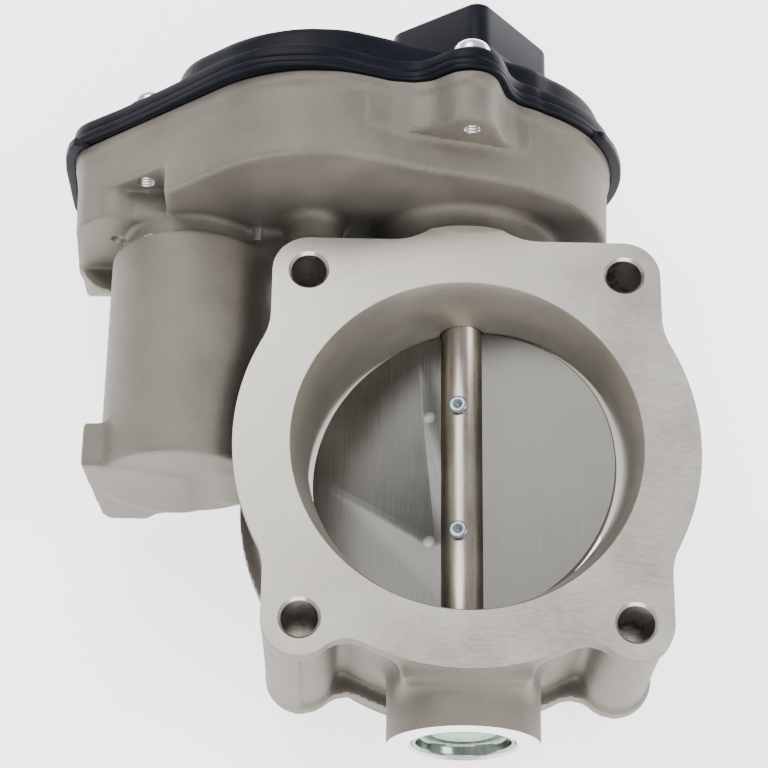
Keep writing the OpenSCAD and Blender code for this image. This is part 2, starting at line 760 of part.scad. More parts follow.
housing();
gear_cover();
cover_gasket();
cover_screws();
connector_pins();
sensor_board();
sensor_chip();
throttle_shaft();
throttle_plate();
plate_screws();
upper_bearing();
lower_bearing();
upper_seal();
lower_seal();
bearing_plug();
sector_gear();
sensor_magnet();
return_spring();
spring_sleeve();
stop_pin();
idler_gear();
idler_pin();
idler_washer();
motor_can();
motor_magnets();
motor_end_cap();
motor_brushes();
motor_terminals();
motor_plate();
motor_screws();
armature();
commutator();
motor_shaft();
motor_pinion();
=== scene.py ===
"""Looks of the electronic throttle body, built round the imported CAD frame.

Lengths in the tables are in millimetres; meshes are scaled to metres when they are made.
Plans across the shaft use (x, depth), with depth measured back from the inlet face.
"""

import math

import bmesh
import bpy
import numpy as np
from mathutils import Matrix, Vector


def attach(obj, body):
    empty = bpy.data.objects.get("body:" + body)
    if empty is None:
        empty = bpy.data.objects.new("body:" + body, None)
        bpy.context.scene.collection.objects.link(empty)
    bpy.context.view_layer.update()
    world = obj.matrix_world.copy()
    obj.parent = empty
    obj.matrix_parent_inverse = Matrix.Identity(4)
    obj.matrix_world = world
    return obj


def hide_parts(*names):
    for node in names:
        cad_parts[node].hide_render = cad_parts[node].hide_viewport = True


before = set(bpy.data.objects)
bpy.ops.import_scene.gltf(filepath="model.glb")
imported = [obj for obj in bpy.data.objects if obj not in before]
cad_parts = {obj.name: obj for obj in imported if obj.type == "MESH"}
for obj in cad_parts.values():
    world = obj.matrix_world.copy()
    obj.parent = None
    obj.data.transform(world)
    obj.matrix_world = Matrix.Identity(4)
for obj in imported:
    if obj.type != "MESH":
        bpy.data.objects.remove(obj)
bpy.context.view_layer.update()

MM = 0.001

# ---- dimensions shared with the CAD part ----

BORE_R, MOUTH_R, TAPER = 39.4, 43.4, 13.2
BODY_LEN, REAR_Z = 63.0, 13.0
FLANGE_R, EAR_R, BARREL_R, SPIGOT_R = 57.6, 9.2, 54.0, 55.0
BOLT_X, BOLT_Y = 40.0, 46.1
SHAFT_Z, SHAFT_R = 40.0, 5.6
SHAFT_D = BODY_LEN - SHAFT_Z
LOW_BOSS_Y, LOW_BOSS_R, UP_BOSS_R = -70.5, 18.8, 24.2
TRAY_Y, FLOOR_Y, RIM_Y = 64.6, 67.0, 87.0
COVER_RIM_Y, DOME_Y, PLUG_Y = 94.0, 101.0, 116.0
IDLER_X = -39.0
IDLER_D = SHAFT_D - math.sqrt(41.0**2 - 39.0**2)
MOTOR_X = -71.2
MOTOR_D = IDLER_D + math.sqrt(35.0**2 - (71.2 - 39.0) ** 2)
MOTOR_R, MOTOR_TOP_Y = 21.2, 59.0
COVER_BOLTS = [(0.3, -23.7), (-83, 4.5), (26, 45), (-36, 51.5), (-92.5, 44)]
PLUG_C, PLUG_A, PLUG_SIZE = (1.2, 3.4), math.radians(52.2), (33.0, 30.0)
END_C, END_R = (0.0, 25.0), 39.3
DOME_C = (-25.0, 18.0)
PIN_PITCH = (4.2, 5.0)
PLATE_A = math.radians(14.5)
PLATE_SCREW_Y = 17.0

TRAY_POLY = [(-104.4, 43), (-102.8, 18.6), (-100.6, 13.4), (-61.3, -19.9), (-55, -23.9),
             (-49.1, -26.3), (-43.2, -27.7), (-37.3, -27.95), (-31.5, -27.5), (-25.6, -25.7),
             (-19.5, -23.35), (-13.3, -20.8), (-6.5, -18.7), (4.4, -16.1), (11.3, -13.6),
             (17.7, -10.2), (30, 10), (20, 58.5), (-86, 58.5), (-99, 54)]
BOSS_POLY = [(-20, -10), (-19.8, -23.3), (-15, -23.15), (-12.1, -23.55), (-9.1, -24.6),
             (-6.4, -26.75), (-3.9, -28.6), (-0.5, -29.4), (3, -28.3), (5.2, -26.2), (6.4, -24),
             (7.5, -20.4), (8.8, -17.2), (12.1, -13.4), (12, -8)]
COVER_POLY = [(-106, 46), (-105.1, 19), (-104.3, 14.6), (-102.6, 11.2), (-100, 8.6),
              (-90.8, 1.5), (-77.5, -10), (-67.8, -19), (-61.4, -24.4), (-55.3, -28.2),
              (-49.3, -30.2), (-43.3, -30.9), (-37.3, -30.9), (-31.4, -29.5), (-25.4, -26.8),
              (-20.5, -25), (-16.5, -24.3), (-13.3, -24.5), (-10.3, -26.1), (-7, -28.8),
              (-4.2, -30.7), (-1, -31.4), (2.2, -31.2), (5, -30), (7.4, -27.6), (9, -24.3),
              (10.4, -20), (12, -17), (14.4, -14.8), (17.9, -12.8), (30, 10), (20, 60.7),
              (-88, 60.7), (-101, 55.5)]
LEFT_LIP = [(-98, 58), (-102, 57), (-106, 53), (-107, 45), (-107, 24), (-106.4, 17.6),
            (-105, 12.6), (-103.4, 10), (-99, 10)]
RIGHT_LIP = [(20, 10), (60, -17), (60, 55), (20, 40)]
WEDGE_PLAN = [(-103.2, 65.8), (-102.6, 64), (-101.9, 62.8), (-100.6, 61.1), (-99, 59.6),
              (-97.2, 58.5), (-94.4, 57.6), (-82, 57.2), (-82, 65.8)]
LUG_POLY = [(-96.2, 13.6), (-84.4, 13.6), (-70, 20), (-70, 44), (-79.4, 47.8), (-82.2, 51.6),
            (-92.4, 51.6), (-94, 48)]
POCKET_POLY = [(-98, -24), (-98, 9), (-91, 8.4), (-86, 9.4), (-77.4, 8.4), (-77.4, -24)]

VOXEL = 0.85


# ---- distance fields ----

def smin(a, b, k):
    """Smallest of two distances, with a fillet about k wide where they meet."""
    if k <= 0:
        return np.minimum(a, b)
    h = np.maximum(k - np.abs(a - b), 0) / k
    return np.minimum(a, b) - h * h * k * 0.25


def smax(a, b, k):
    return -smin(-a, -b, k)


def poly_distance(x, y, pts):
    """Signed distance to a closed polygon, negative inside."""
    x, y = np.broadcast_arrays(x, y)
    d = np.full(x.shape, 1e9, np.float64)
    inside = np.zeros(x.shape, bool)
    n = len(pts)
    for i in range(n):
        ax, ay = pts[i]
        bx, by = pts[(i + 1) % n]
        ex, ey = bx - ax, by - ay
        px, py = x - ax, y - ay
        t = np.clip((px * ex + py * ey) / (ex * ex + ey * ey), 0, 1)
        d = np.minimum(d, (px - ex * t) ** 2 + (py - ey * t) ** 2)
        cross = ((ay > y) != (by > y)) & (x < ex * (y - ay) / (ey if ey else 1e-12) + ax)
        inside ^= cross
    d = np.sqrt(d)
    return np.where(inside, -d, d)


def circle_distance(x, y, cx, cy, r):
    return np.hypot(x - cx, y - cy) - r


def shrink(pts, k):
    """The polygon with every side moved inwards by k."""
    out = []
    n = len(pts)
    for i in range(n):
        a, b, c = (np.array(pts[j % n], float) for j in (i - 1, i, i + 1))
        u, v = (b - a) / np.linalg.norm(b - a), (c - b) / np.linalg.norm(c - b)
        n1, n2 = np.array([-u[1], u[0]]), np.array([-v[1], v[0]])
        out.append(tuple(b + k * (n1 + n2) / (1 + n1 @ n2)))
    return out


def soften(pts, rounds=2, longest=9.5):
    """Adds points on a smooth curve through the short sides of a polygon; long sides stay straight."""
    pts = [np.array(p, float) for p in pts]
    for _ in range(rounds):
        out = []
        n = len(pts)
        for i in range(n):
            a, b, c, d = (pts[(i + j) % n] for j in (-1, 0, 1, 2))
            out.append(b)
            size = np.linalg.norm(c - b)
            if size < longest:
                a = b + (a - b) * min(1, size / np.linalg.norm(a - b))
                d = c + (d - c) * min(1, size / np.linalg.norm(d - c))
                out.append((9 * (b + c) - a - d) / 16)
        pts = out
    return [tuple(p) for p in pts]


TRAY_LINE, BOSS_LINE, COVER_LINE = soften(TRAY_POLY), soften(BOSS_POLY), soften(COVER_POLY)


def end_distance(x, d, grow, back):
    """Round right end, cut off straight at the back."""
    return smax(circle_distance(x, d, *END_C, END_R + grow), d - back, 5)


def tray_distance(x, d):
    """Gear tray's outer wall."""
    return smin(poly_distance(x, d, TRAY_LINE), end_distance(x, d, 0, 58.5), 1.5)


def rim_distance(x, d):
    """The tray's wall with the screw boss that stands out of its front."""
    boss = smin(circle_distance(x, d, *COVER_BOLTS[0], 5.7), poly_distance(x, d, BOSS_LINE), 0.5)
    return smin(tray_distance(x, d), boss, 1.0)


def cover_distance(x, d):
    return smin(poly_distance(x, d, COVER_LINE), end_distance(x, d, 2.2, 60.7), 1.0)


def notch_distance(x, d, c, r):
    """Room round a screw, widening outwards so that the dome's outline can be seen from DOME_C."""
    far = math.dist(c, DOME_C)
    ux, ud = (c[0] - DOME_C[0]) / far, (c[1] - DOME_C[1]) / far
    out = (x - DOME_C[0]) * ux + (d - DOME_C[1]) * ud
    side = np.abs((d - DOME_C[1]) * ux - (x - DOME_C[0]) * ud)
    sin = r / far
    cone = side * math.sqrt(1 - sin * sin) - out * sin
    return np.minimum(circle_distance(x, d, *c, r), np.maximum(far - out, cone))


def dome_distance(x, d):
    end = smin(x - 20, circle_distance(x, d, *END_C, END_R - 1.2), 3)
    body = smax(smax(tray_distance(x, d) + 0.4, end, 2), -75.5 - x, 7)
    body = smax(body, -notch_distance(x, d, COVER_BOLTS[0], 6), 3)
    for c in COVER_BOLTS[2:4]:
        body = smax(body, -notch_distance(x, d, c, 8), 4)
    return body


def left_lip_distance(x, d):
    return poly_distance(x, d, shrink(LEFT_LIP, 0.8)) - 0.8


def right_lip_distance(x, d):
    edge = poly_distance(x, d, shrink(RIGHT_LIP, 1)) - 1
    return smax(circle_distance(x, d, *END_C, END_R + 3.9), edge, 3)


def plug_distance(x, d):
    u = (x - PLUG_C[0]) * math.cos(PLUG_A) + (d - PLUG_C[1]) * math.sin(PLUG_A)
    v = -(x - PLUG_C[0]) * math.sin(PLUG_A) + (d - PLUG_C[1]) * math.cos(PLUG_A)
    r = 4.0
    qx, qy = np.abs(u) - PLUG_SIZE[0] / 2 + r, np.abs(v) - PLUG_SIZE[1] / 2 + r
    return np.hypot(np.maximum(qx, 0), np.maximum(qy, 0)) + np.minimum(np.maximum(qx, qy), 0) - r


def flange_outline():
    """Closed outline of both flanges: round, with four ears and hollow fillets."""
    def arc(cx, cy, r, a0, a1, n):
        return [(cx + r * math.cos(a), cy + r * math.sin(a)) for a in np.linspace(a0, a1, n)]

    f, g, t = 16.0, 8.0, 26.0
    side = BOLT_X + EAR_R
    top = BOLT_Y + EAR_R
    ty = top + t
    tx = math.sqrt((FLANGE_R + t) ** 2 - ty * ty)
    ta = math.atan2(ty, tx)
    fx, fy = side + f, math.sqrt((FLANGE_R + f) ** 2 - (side + f) ** 2)
    fa = math.atan2(fy, fx)
    c = math.hypot(BOLT_X, BOLT_Y)
    ra, rb = FLANGE_R + g, EAR_R + g
    w = math.acos((c * c + ra * ra - rb * rb) / (2 * c * ra))
    ga = math.atan2(-BOLT_Y, BOLT_X) - w
    gx, gy = ra * math.cos(ga), ra * math.sin(ga)
    ge = math.atan2(-BOLT_Y - gy, BOLT_X - gx)
    right = arc(0, 0, FLANGE_R, math.pi / 2, ta, 6)
    right += arc(tx, ty, t, ta - math.pi, -math.pi / 2, 6)
    right += arc(BOLT_X, BOLT_Y, EAR_R, math.pi / 2, 0, 16)
    right += arc(fx, fy, f, math.pi, math.pi + fa, 12)
    right += arc(0, 0, FLANGE_R, fa, -fa, 40)
    right += arc(fx, -fy, f, math.pi - fa, math.pi, 12)
    right += arc(BOLT_X, -BOLT_Y, EAR_R, 0, ge - math.pi, 24)
    right += arc(gx, gy, g, ge, ga + math.pi, 12)
    right += arc(0, 0, FLANGE_R, ga, -math.pi / 2, 16)
    left = [(-x, y) for x, y in reversed(right)]
    pts = right + left
    return [p for i, p in enumerate(pts) if math.dist(p, pts[i - 1]) > 1e-6]


class Field:
    """A voxel grid that primitives are blended into, in millimetres."""

    def __init__(self, lo, hi, step):
        self.step = step
        self.lo = np.array(lo, float)
        n = [int(math.ceil((b - a) / step)) + 1 for a, b in zip(lo, hi)]
        self.axes = [self.lo[i] + np.arange(n[i]) * step for i in range(3)]
        self.d = np.full(n, 20.0, np.float32)

    def window(self, lo, hi, pad):
        s = []
        for i in range(3):
            a = int(np.searchsorted(self.axes[i], lo[i] - pad))
            b = int(np.searchsorted(self.axes[i], hi[i] + pad))
            s.append(slice(max(a, 0), max(b, 1)))
        x = self.axes[0][s[0]][:, None, None]
        y = self.axes[1][s[1]][None, :, None]
        z = self.axes[2][s[2]][None, None, :]
        return tuple(s), x, y, z

    def add(self, lo, hi, fn, k=0.0):
        s, x, y, z = self.window(lo, hi, k + 3)
        self.d[s] = smin(self.d[s], fn(x, y, z), k)

    def cut(self, lo, hi, fn, k=0.0):
        s, x, y, z = self.window(lo, hi, k + 3)
        self.d[s] = smax(self.d[s], -fn(x, y, z), k)


def slab(d2, v, v0, v1, r):
    """Extrudes a plan's distance from v0 to v1, with its end edges rounded by r."""
    dz = np.abs(v - (v0 + v1) / 2) - (v1 - v0) / 2
    a, b = d2 + r, dz + r
    return np.minimum(np.maximum(a, b), 0) + np.hypot(np.maximum(a, 0), np.maximum(b, 0)) - r


def surface(field):
    """Surface net of the field's zero level: vertices and quads."""
    d = field.d
    inside = d < 0
    mixed = np.zeros([n - 1 for n in d.shape], bool)
    first = inside[:-1, :-1, :-1]
    for i in (0, 1):
        for j in (0, 1):
            for k in (0, 1):
                part = inside[i:d.shape[0] - 1 + i, j:d.shape[1] - 1 + j, k:d.shape[2] - 1 + k]
                mixed |= part != first
    cells = np.argwhere(mixed)
    index = np.full(mixed.shape, -1, np.int64)
    index[tuple(cells.T)] = np.arange(len(cells))
    total = np.zeros((len(cells), 3))
    count = np.zeros(len(cells))
    corners = [(i, j, k) for i in (0, 1) for j in (0, 1) for k in (0, 1)]
    for a in corners:
        for axis in range(3):
            if a[axis]:
                continue
            b = list(a)
            b[axis] = 1
            da = d[tuple((cells + a).T)].astype(float)
            db = d[tuple((cells + b).T)].astype(float)
            hit = (da < 0) != (db < 0)
            t = np.where(hit, da / np.where(hit, da - db, 1), 0)
            p = np.array(a, float) + 0
            q = np.repeat(p[None], len(cells), 0)
            q[:, axis] += t
            total += q * hit[:, None]
            count += hit
    verts = (cells + total / count[:, None]) * field.step + field.lo
    quads = []
    for axis in range(3):
        u, v = [a for a in range(3) if a != axis]
        lead = [slice(1, -1)] * 3
        lead[axis] = slice(0, -1)
        tail = list(lead)
        tail[axis] = slice(1, None)
        a, b = inside[tuple(lead)], inside[tuple(tail)]
        edge = np.argwhere(a != b)
        edge[:, u] += 1
        edge[:, v] += 1
        out = inside[tuple(edge.T)]
        c = []
        for du, dv in ((-1, -1), (0, -1), (0, 0), (-1, 0)):
            e = edge.copy()
            e[:, u] += du
            e[:, v] += dv
            c.append(index[tuple(e.T)])
        q = np.stack(c, 1)
        flip = out if axis != 1 else ~out
        q[~flip] = q[~flip][:, ::-1]
        quads.append(q)
    return verts, np.concatenate(quads)


def new_mesh(name, verts, faces, mats):
    """Object from millimetre vertices and equal-sized faces, with one material slot per entry of mats."""
    mesh = bpy.data.meshes.new(name)
    mesh.from_pydata((np.asarray(verts) * MM).tolist(), [], [list(f) for f in faces])
    mesh.update()
    obj = bpy.data.objects.new(name, mesh)
    bpy.context.scene.collection.objects.link(obj)
    for m in mats:
        mesh.materials.append(m)
    return obj


def lathe(name, profile, mat, axis="Z", at=(0.0, 0.0), n=96):
    """Closed solid of revolution. profile is (radius, height) and starts and ends at radius 0."""
    verts, faces = [], []
    rows = []
    for r, h in profile:
        if r < 1e-9:
            rows.append([len(verts)])
            verts.append((0, 0, h))
        else:
            rows.append(list(range(len(verts), len(verts) + n)))
            verts += [(r * math.cos(a), r * math.sin(a), h)
                      for a in np.linspace(0, 2 * math.pi, n, endpoint=False)]
    for a, b in zip(rows, rows[1:]):
        for i in range(n):
            j = (i + 1) % n
            if len(a) == 1 and len(b) == 1:
                continue
            if len(a) == 1:
                faces.append((a[0], b[j], b[i]))
            elif len(b) == 1:
                faces.append((a[i], a[j], b[0]))
            else:
                faces.append((a[i], a[j], b[j], b[i]))
    if axis == "Y":
        verts = [(at[0] + x, h, BODY_LEN - at[1] - y) for x, y, h in verts]
    else:
        verts = [(at[0] + x, at[1] + y, h) for x, y, h in verts]
    obj = new_mesh(name, verts, faces, [mat])
    outward(obj)
    return obj


def block(name, lo, hi, mat):
    x0, y0, z0 = lo
    x1, y1, z1 = hi
    v = [(x, y, z) for x in (x0, x1) for y in (y0, y1) for z in (z0, z1)]
    f = [(0, 1, 3, 2), (4, 6, 7, 5), (0, 4, 5, 1), (2, 3, 7, 6), (0, 2, 6, 4), (1, 5, 7, 3)]
    obj = new_mesh(name, v, f, [mat])
    outward(obj)
    return obj


def outward(obj):
    bm = bmesh.new()
    bm.from_mesh(obj.data)
    bmesh.ops.recalc_face_normals(bm, faces=bm.faces)
    bm.to_mesh(obj.data)
    bm.free()


def apply(obj):
    """Applies the object's modifiers."""
    deps = bpy.context.evaluated_depsgraph_get()
    mesh = bpy.data.meshes.new_from_object(obj.evaluated_get(deps))
    obj.modifiers.clear()
    old = obj.data
    obj.data = mesh
    bpy.data.meshes.remove(old)


def carve(obj, cutters, mode="DIFFERENCE"):
    """Cuts each solid out of obj; the new faces keep the cutter's material."""
    for c in cutters:
        m = obj.modifiers.new("cut", "BOOLEAN")
        m.operation = mode
        m.solver = "MANIFOLD"
        m.material_mode = "TRANSFER"
        m.object = c
        apply(obj)
        bpy.data.objects.remove(c)


def smooth(obj, angle=34.0):
    """Smooth shading with edges sharper than angle kept crisp."""
    mesh = obj.data
    mesh.shade_smooth()
    bm = bmesh.new()
    bm.from_mesh(mesh)
    limit = math.radians(angle)
    for e in bm.edges:
        e.smooth = len(e.link_faces) == 2 and e.calc_face_angle(0) < limit
    bm.to_mesh(mesh)
    bm.free()


# ---- plan loops for lofted pieces ----

def trace(dist, centre, reach, n):
    """Points of a star-shaped outline where dist is zero, evenly spaced along it."""
    a = np.linspace(0, 2 * math.pi, 4 * n, endpoint=False)
    lo, hi = np.zeros(4 * n), np.full(4 * n, float(reach))
    for _ in range(40):
        m = (lo + hi) / 2
        out = dist(centre[0] + m * np.cos(a), centre[1] + m * np.sin(a)) > 0
        hi, lo = np.where(out, m, hi), np.where(out, lo, m)
    p = np.stack([centre[0] + lo * np.cos(a), centre[1] + lo * np.sin(a)], 1)
    q = np.concatenate([p, p[:1]])
    s = np.concatenate([[0], np.cumsum(np.linalg.norm(np.diff(q, axis=0), axis=1))])
    t = np.linspace(0, s[-1], n, endpoint=False)
    return np.stack([np.interp(t, s, q[:, 0]), np.interp(t, s, q[:, 1])], 1)


def level(dist, pts, k):
    """Moves outline points along the slope until dist equals -k."""
    p = pts.copy()
    e = 0.02
    for _ in range(8):
        f = dist(p[:, 0], p[:, 1]) + k
        gx = (dist(p[:, 0] + e, p[:, 1]) - dist(p[:, 0] - e, p[:, 1])) / (2 * e)
        gy = (dist(p[:, 0], p[:, 1] + e) - dist(p[:, 0], p[:, 1] - e)) / (2 * e)
        g2 = np.maximum(gx * gx + gy * gy, 0.25)
        p = p - np.stack([gx * f / g2, gy * f / g2], 1)
    return p


def loft(name, dist, centre, profile, mat, n=420, reach=130.0):
    """Closed solid from plan outlines: profile is (inset, y) from one flat end to the other."""
    base = trace(dist, centre, reach, n)
    verts, faces = [], []
    for k, y in profile:
        for x, d in level(dist, base, k):
            verts.append((x, y, BODY_LEN - d))
    for r in range(len(profile) - 1):
        for i in range(n):
            j = (i + 1) % n
            faces.append((r * n + i, r * n + j, (r + 1) * n + j, (r + 1) * n + i))
    last = (len(profile) - 1) * n
    faces.append(tuple(range(n)))
    faces.append(tuple(range(last, last + n)))
    obj = new_mesh(name, verts, faces, [mat])
    outward(obj)
    return obj


# ---- materials ----

def material(name):
    m = bpy.data.materials.new(name)
    m.use_nodes = True
    nodes, links = m.node_tree.nodes, m.node_tree.links
    return m, nodes, links, nodes["Principled BSDF"]


def mapped(nodes, links, scale=(1, 1, 1)):
    """Object coordinates in millimetres, stretched by scale."""
    tc = nodes.new("ShaderNodeTexCoord")
    mp = nodes.new("ShaderNodeMapping")
    mp.inputs["Scale"].default_value = tuple(1000 * s for s in scale)
    links.new(tc.outputs["Object"], mp.inputs["Vector"])
    return mp.outputs["Vector"]


def noise(nodes, links, vec, scale, detail=3.0, rough=0.55):
    n = nodes.new("ShaderNodeTexNoise")
    n.inputs["Scale"].default_value = scale
    n.inputs["Detail"].default_value = detail
    n.inputs["Roughness"].default_value = rough
    links.new(vec, n.inputs["Vector"])
    return n.outputs["Fac"]


def ramp(nodes, links, fac, stops):
    r = nodes.new("ShaderNodeValToRGB")
    r.color_ramp.elements[0].position, r.color_ramp.elements[0].color = stops[0][0], (*stops[0][1], 1)
    r.color_ramp.elements[1].position, r.color_ramp.elements[1].color = stops[-1][0], (*stops[-1][1], 1)
    for pos, col in stops[1:-1]:
        r.color_ramp.elements.new(pos).color = (*col, 1)
    links.new(fac, r.inputs["Fac"])
    return r.outputs["Color"]


def remap(nodes, links, fac, a, b, lo=0.25, hi=0.75):
    r = nodes.new("ShaderNodeMapRange")
    r.inputs["From Min"].default_value, r.inputs["From Max"].default_value = lo, hi
    r.inputs["To Min"].default_value, r.inputs["To Max"].default_value = a, b
    links.new(fac, r.inputs["Value"])
    return r.outputs["Result"]


def bump(nodes, links, bsdf, height, strength, distance):
    b = nodes.new("ShaderNodeBump")
    b.inputs["Strength"].default_value = strength
    b.inputs["Distance"].default_value = distance * MM
    links.new(height, b.inputs["Height"])
    links.new(b.outputs["Normal"], bsdf.inputs["Normal"])


def add(nodes, links, a, b, wa=1.0, wb=1.0):
    m = nodes.new("ShaderNodeMath")
    m.operation = "MULTIPLY"
    m.inputs[1].default_value = wa
    links.new(a, m.inputs[0])
    s = nodes.new("ShaderNodeMath")
    s.operation = "MULTIPLY_ADD"
    s.inputs[1].default_value = wb
    links.new(b, s.inputs[0])
    links.new(m.outputs[0], s.inputs[2])
    return s.outputs[0]


def metal(name, dark, light, rough, grain=0.9, stretch=(1, 1, 1), blotch=0.05, depth=0.02,
          strength=0.3, metallic=1.0, rough_spread=0.08, painted_recess_shade=0.0):
    """Metal with a fine grain, soft blotches, uneven gloss and, when its last argument is non-zero,
    painted shade that darkens recesses by ambient occlusion.
    """
    m, nodes, links, bsdf = material(name)
    bsdf.inputs["Metallic"].default_value = metallic
    fine = noise(nodes, links, mapped(nodes, links, stretch), grain, 4)
    broad = noise(nodes, links, mapped(nodes, links), blotch, 4)
    mixed = add(nodes, links, broad, fine, 0.62, 0.38)
    tint = ramp(nodes, links, mixed, [(0.36, dark), (0.64, light)])
    if painted_recess_shade:
        # painted shade: ambient occlusion blends the base colour towards a near-black in recesses and
        # creases, where shade falls
        hollow = nodes.new("ShaderNodeAmbientOcclusion")
        hollow.samples = 6
        hollow.inputs["Distance"].default_value = 28 * MM
        mix = nodes.new("ShaderNodeMix")
        mix.data_type = "RGBA"
        shade = remap(nodes, links, hollow.outputs["AO"], painted_recess_shade, 0.0, 0.1, 0.62)
        links.new(shade, mix.inputs["Factor"])
        links.new(tint, mix.inputs["A"])
        mix.inputs["B"].default_value = (dark[0] * 0.12, dark[1] * 0.11, dark[2] * 0.1, 1)
        tint = mix.outputs["Result"]
    links.new(tint, bsdf.inputs["Base Color"])
    links.new(remap(nodes, links, mixed, rough - rough_spread, rough + rough_spread, 0.35, 0.65),
              bsdf.inputs["Roughness"])
    bump(nodes, links, bsdf, fine, strength, depth)
    return m


# the cast housing gets painted shade in its recesses, from the ambient-occlusion darkening
CAST = metal("cast_shot_blasted", (0.15, 0.135, 0.112), (0.235, 0.215, 0.185), 0.6, grain=2.4,
             blotch=0.045, depth=0.12, strength=0.8, metallic=0.55, painted_recess_shade=0.6)
FACED = metal("machined_face", (0.46, 0.43, 0.385), (0.57, 0.54, 0.49), 0.4, grain=1.6,
              stretch=(0.25, 1, 1), blotch=0.035, depth=0.006, strength=0.25)
BORED = metal("machined_bore", (0.31, 0.285, 0.24), (0.43, 0.4, 0.35), 0.38, grain=3.0,
              stretch=(0.1, 0.1, 2.5), blotch=0.04, depth=0.008, strength=0.3, metallic=0.7)
RINGED = metal("machined_boss_ring", (0.86, 0.85, 0.83), (0.95, 0.94, 0.92), 0.3, grain=1.6,
               blotch=0.05, depth=0.004, strength=0.2)
DRILLED = metal("drilled_hole", (0.5, 0.47, 0.44), (0.72, 0.7, 0.67), 0.3, grain=2.0,
                stretch=(0.15, 0.15, 2), blotch=0.1, depth=0.01, strength=0.4)
def plastic(name, dark, light, rough, grain=1.2, depth=0.01, strength=0.3, sheen=0.5):
    """Moulded plastic with faint mottling and an uneven satin finish."""
    m, nodes, links, bsdf = material(name)
    fine = noise(nodes, links, mapped(nodes, links), grain, 4)
    broad = noise(nodes, links, mapped(nodes, links), 0.06, 3)
    mixed = add(nodes, links, broad, fine, 0.6, 0.4)
    links.new(ramp(nodes, links, mixed, [(0.38, dark), (0.62, light)]), bsdf.inputs["Base Color"])
    links.new(remap(nodes, links, mixed, rough - 0.06, rough + 0.06, 0.35, 0.65),
              bsdf.inputs["Roughness"])
    bsdf.inputs["Specular IOR Level"].default_value = sheen
    bump(nodes, links, bsdf, fine, strength, depth)
    return m


COVER = plastic("cover_satin_black", (0.003, 0.0035, 0.008), (0.007, 0.008, 0.015), 0.46, sheen=0.12)
UNDER = plastic("cover_underside", (0.010, 0.011, 0.014), (0.018, 0.019, 0.024), 0.5)
RUBBER = plastic("gasket_rubber", (0.008, 0.008, 0.008), (0.016, 0.016, 0.016), 0.7)
BOARD = plastic("board_resist", (0.02, 0.12, 0.05), (0.03, 0.19, 0.08), 0.35)
CHIP = plastic("black_moulding", (0.02, 0.02, 0.022), (0.035, 0.035, 0.038), 0.5)
NYLON = plastic("gear_nylon", (0.62, 0.58, 0.47), (0.72, 0.68, 0.57), 0.42)
ZINC = metal("zinc_plate", (0.74, 0.77, 0.82), (0.88, 0.9, 0.93), 0.2, grain=1.2, depth=0.004)
ZINC_GREEN = metal("zinc_plate_green", (0.17, 0.225, 0.19), (0.4, 0.46, 0.4), 0.22, grain=0.9,
                   stretch=(1, 0.3, 1), blotch=0.08, depth=0.01, strength=0.4)
BRASS = metal("pin_brass", (0.55, 0.4, 0.16), (0.72, 0.55, 0.26), 0.3, depth=0.004)
BEARING = metal("ground_steel", (0.5, 0.5, 0.52), (0.66, 0.66, 0.68), 0.22, grain=2.0,
                stretch=(0.3, 1, 0.3), depth=0.004)
CAN = metal("plated_steel", (0.42, 0.44, 0.45), (0.58, 0.6, 0.6), 0.34, grain=1.4, depth=0.006)
CORE = metal("core_stack", (0.22, 0.23, 0.25), (0.36, 0.37, 0.4), 0.45, grain=2.2,
             stretch=(0.1, 3, 0.1), depth=0.03)
COPPER = metal("copper_bars", (0.6, 0.28, 0.14), (0.8, 0.42, 0.24), 0.3, depth=0.004)
MAGNET = metal("sintered_grey", (0.06, 0.06, 0.065), (0.14, 0.14, 0.15), 0.6, metallic=0.6,
               depth=0.02)
SPRING = metal("spring_wire", (0.3, 0.28, 0.25), (0.48, 0.45, 0.41), 0.35, depth=0.006)
SHAFT = metal("ground_shaft", (0.26, 0.23, 0.19), (0.40, 0.365, 0.32), 0.3, grain=2.2,
              stretch=(2.0, 0.06, 2.0), blotch=0.05, depth=0.01, strength=0.35)
PLATE = metal("brushed_plate", (0.085, 0.082, 0.073), (0.155, 0.15, 0.138), 0.36, grain=2.6,
              stretch=(1.6, 0.03, 1.6), blotch=0.03, depth=0.012, strength=0.45, metallic=0.75)
PLATE_MARK = metal("plate_mark", (0.17, 0.167, 0.155), (0.25, 0.245, 0.235), 0.42, depth=0.006)
SCREW_TIP = metal("screw_tip", (0.16, 0.185, 0.22), (0.33, 0.37, 0.42), 0.3, grain=1.5,
                  depth=0.01)
INSIDE = metal("cast_inside", (0.3, 0.28, 0.25), (0.42, 0.39, 0.35), 0.6, grain=2.4,
               blotch=0.05, depth=0.06, strength=0.4, metallic=0.8)


# ---- housing ----

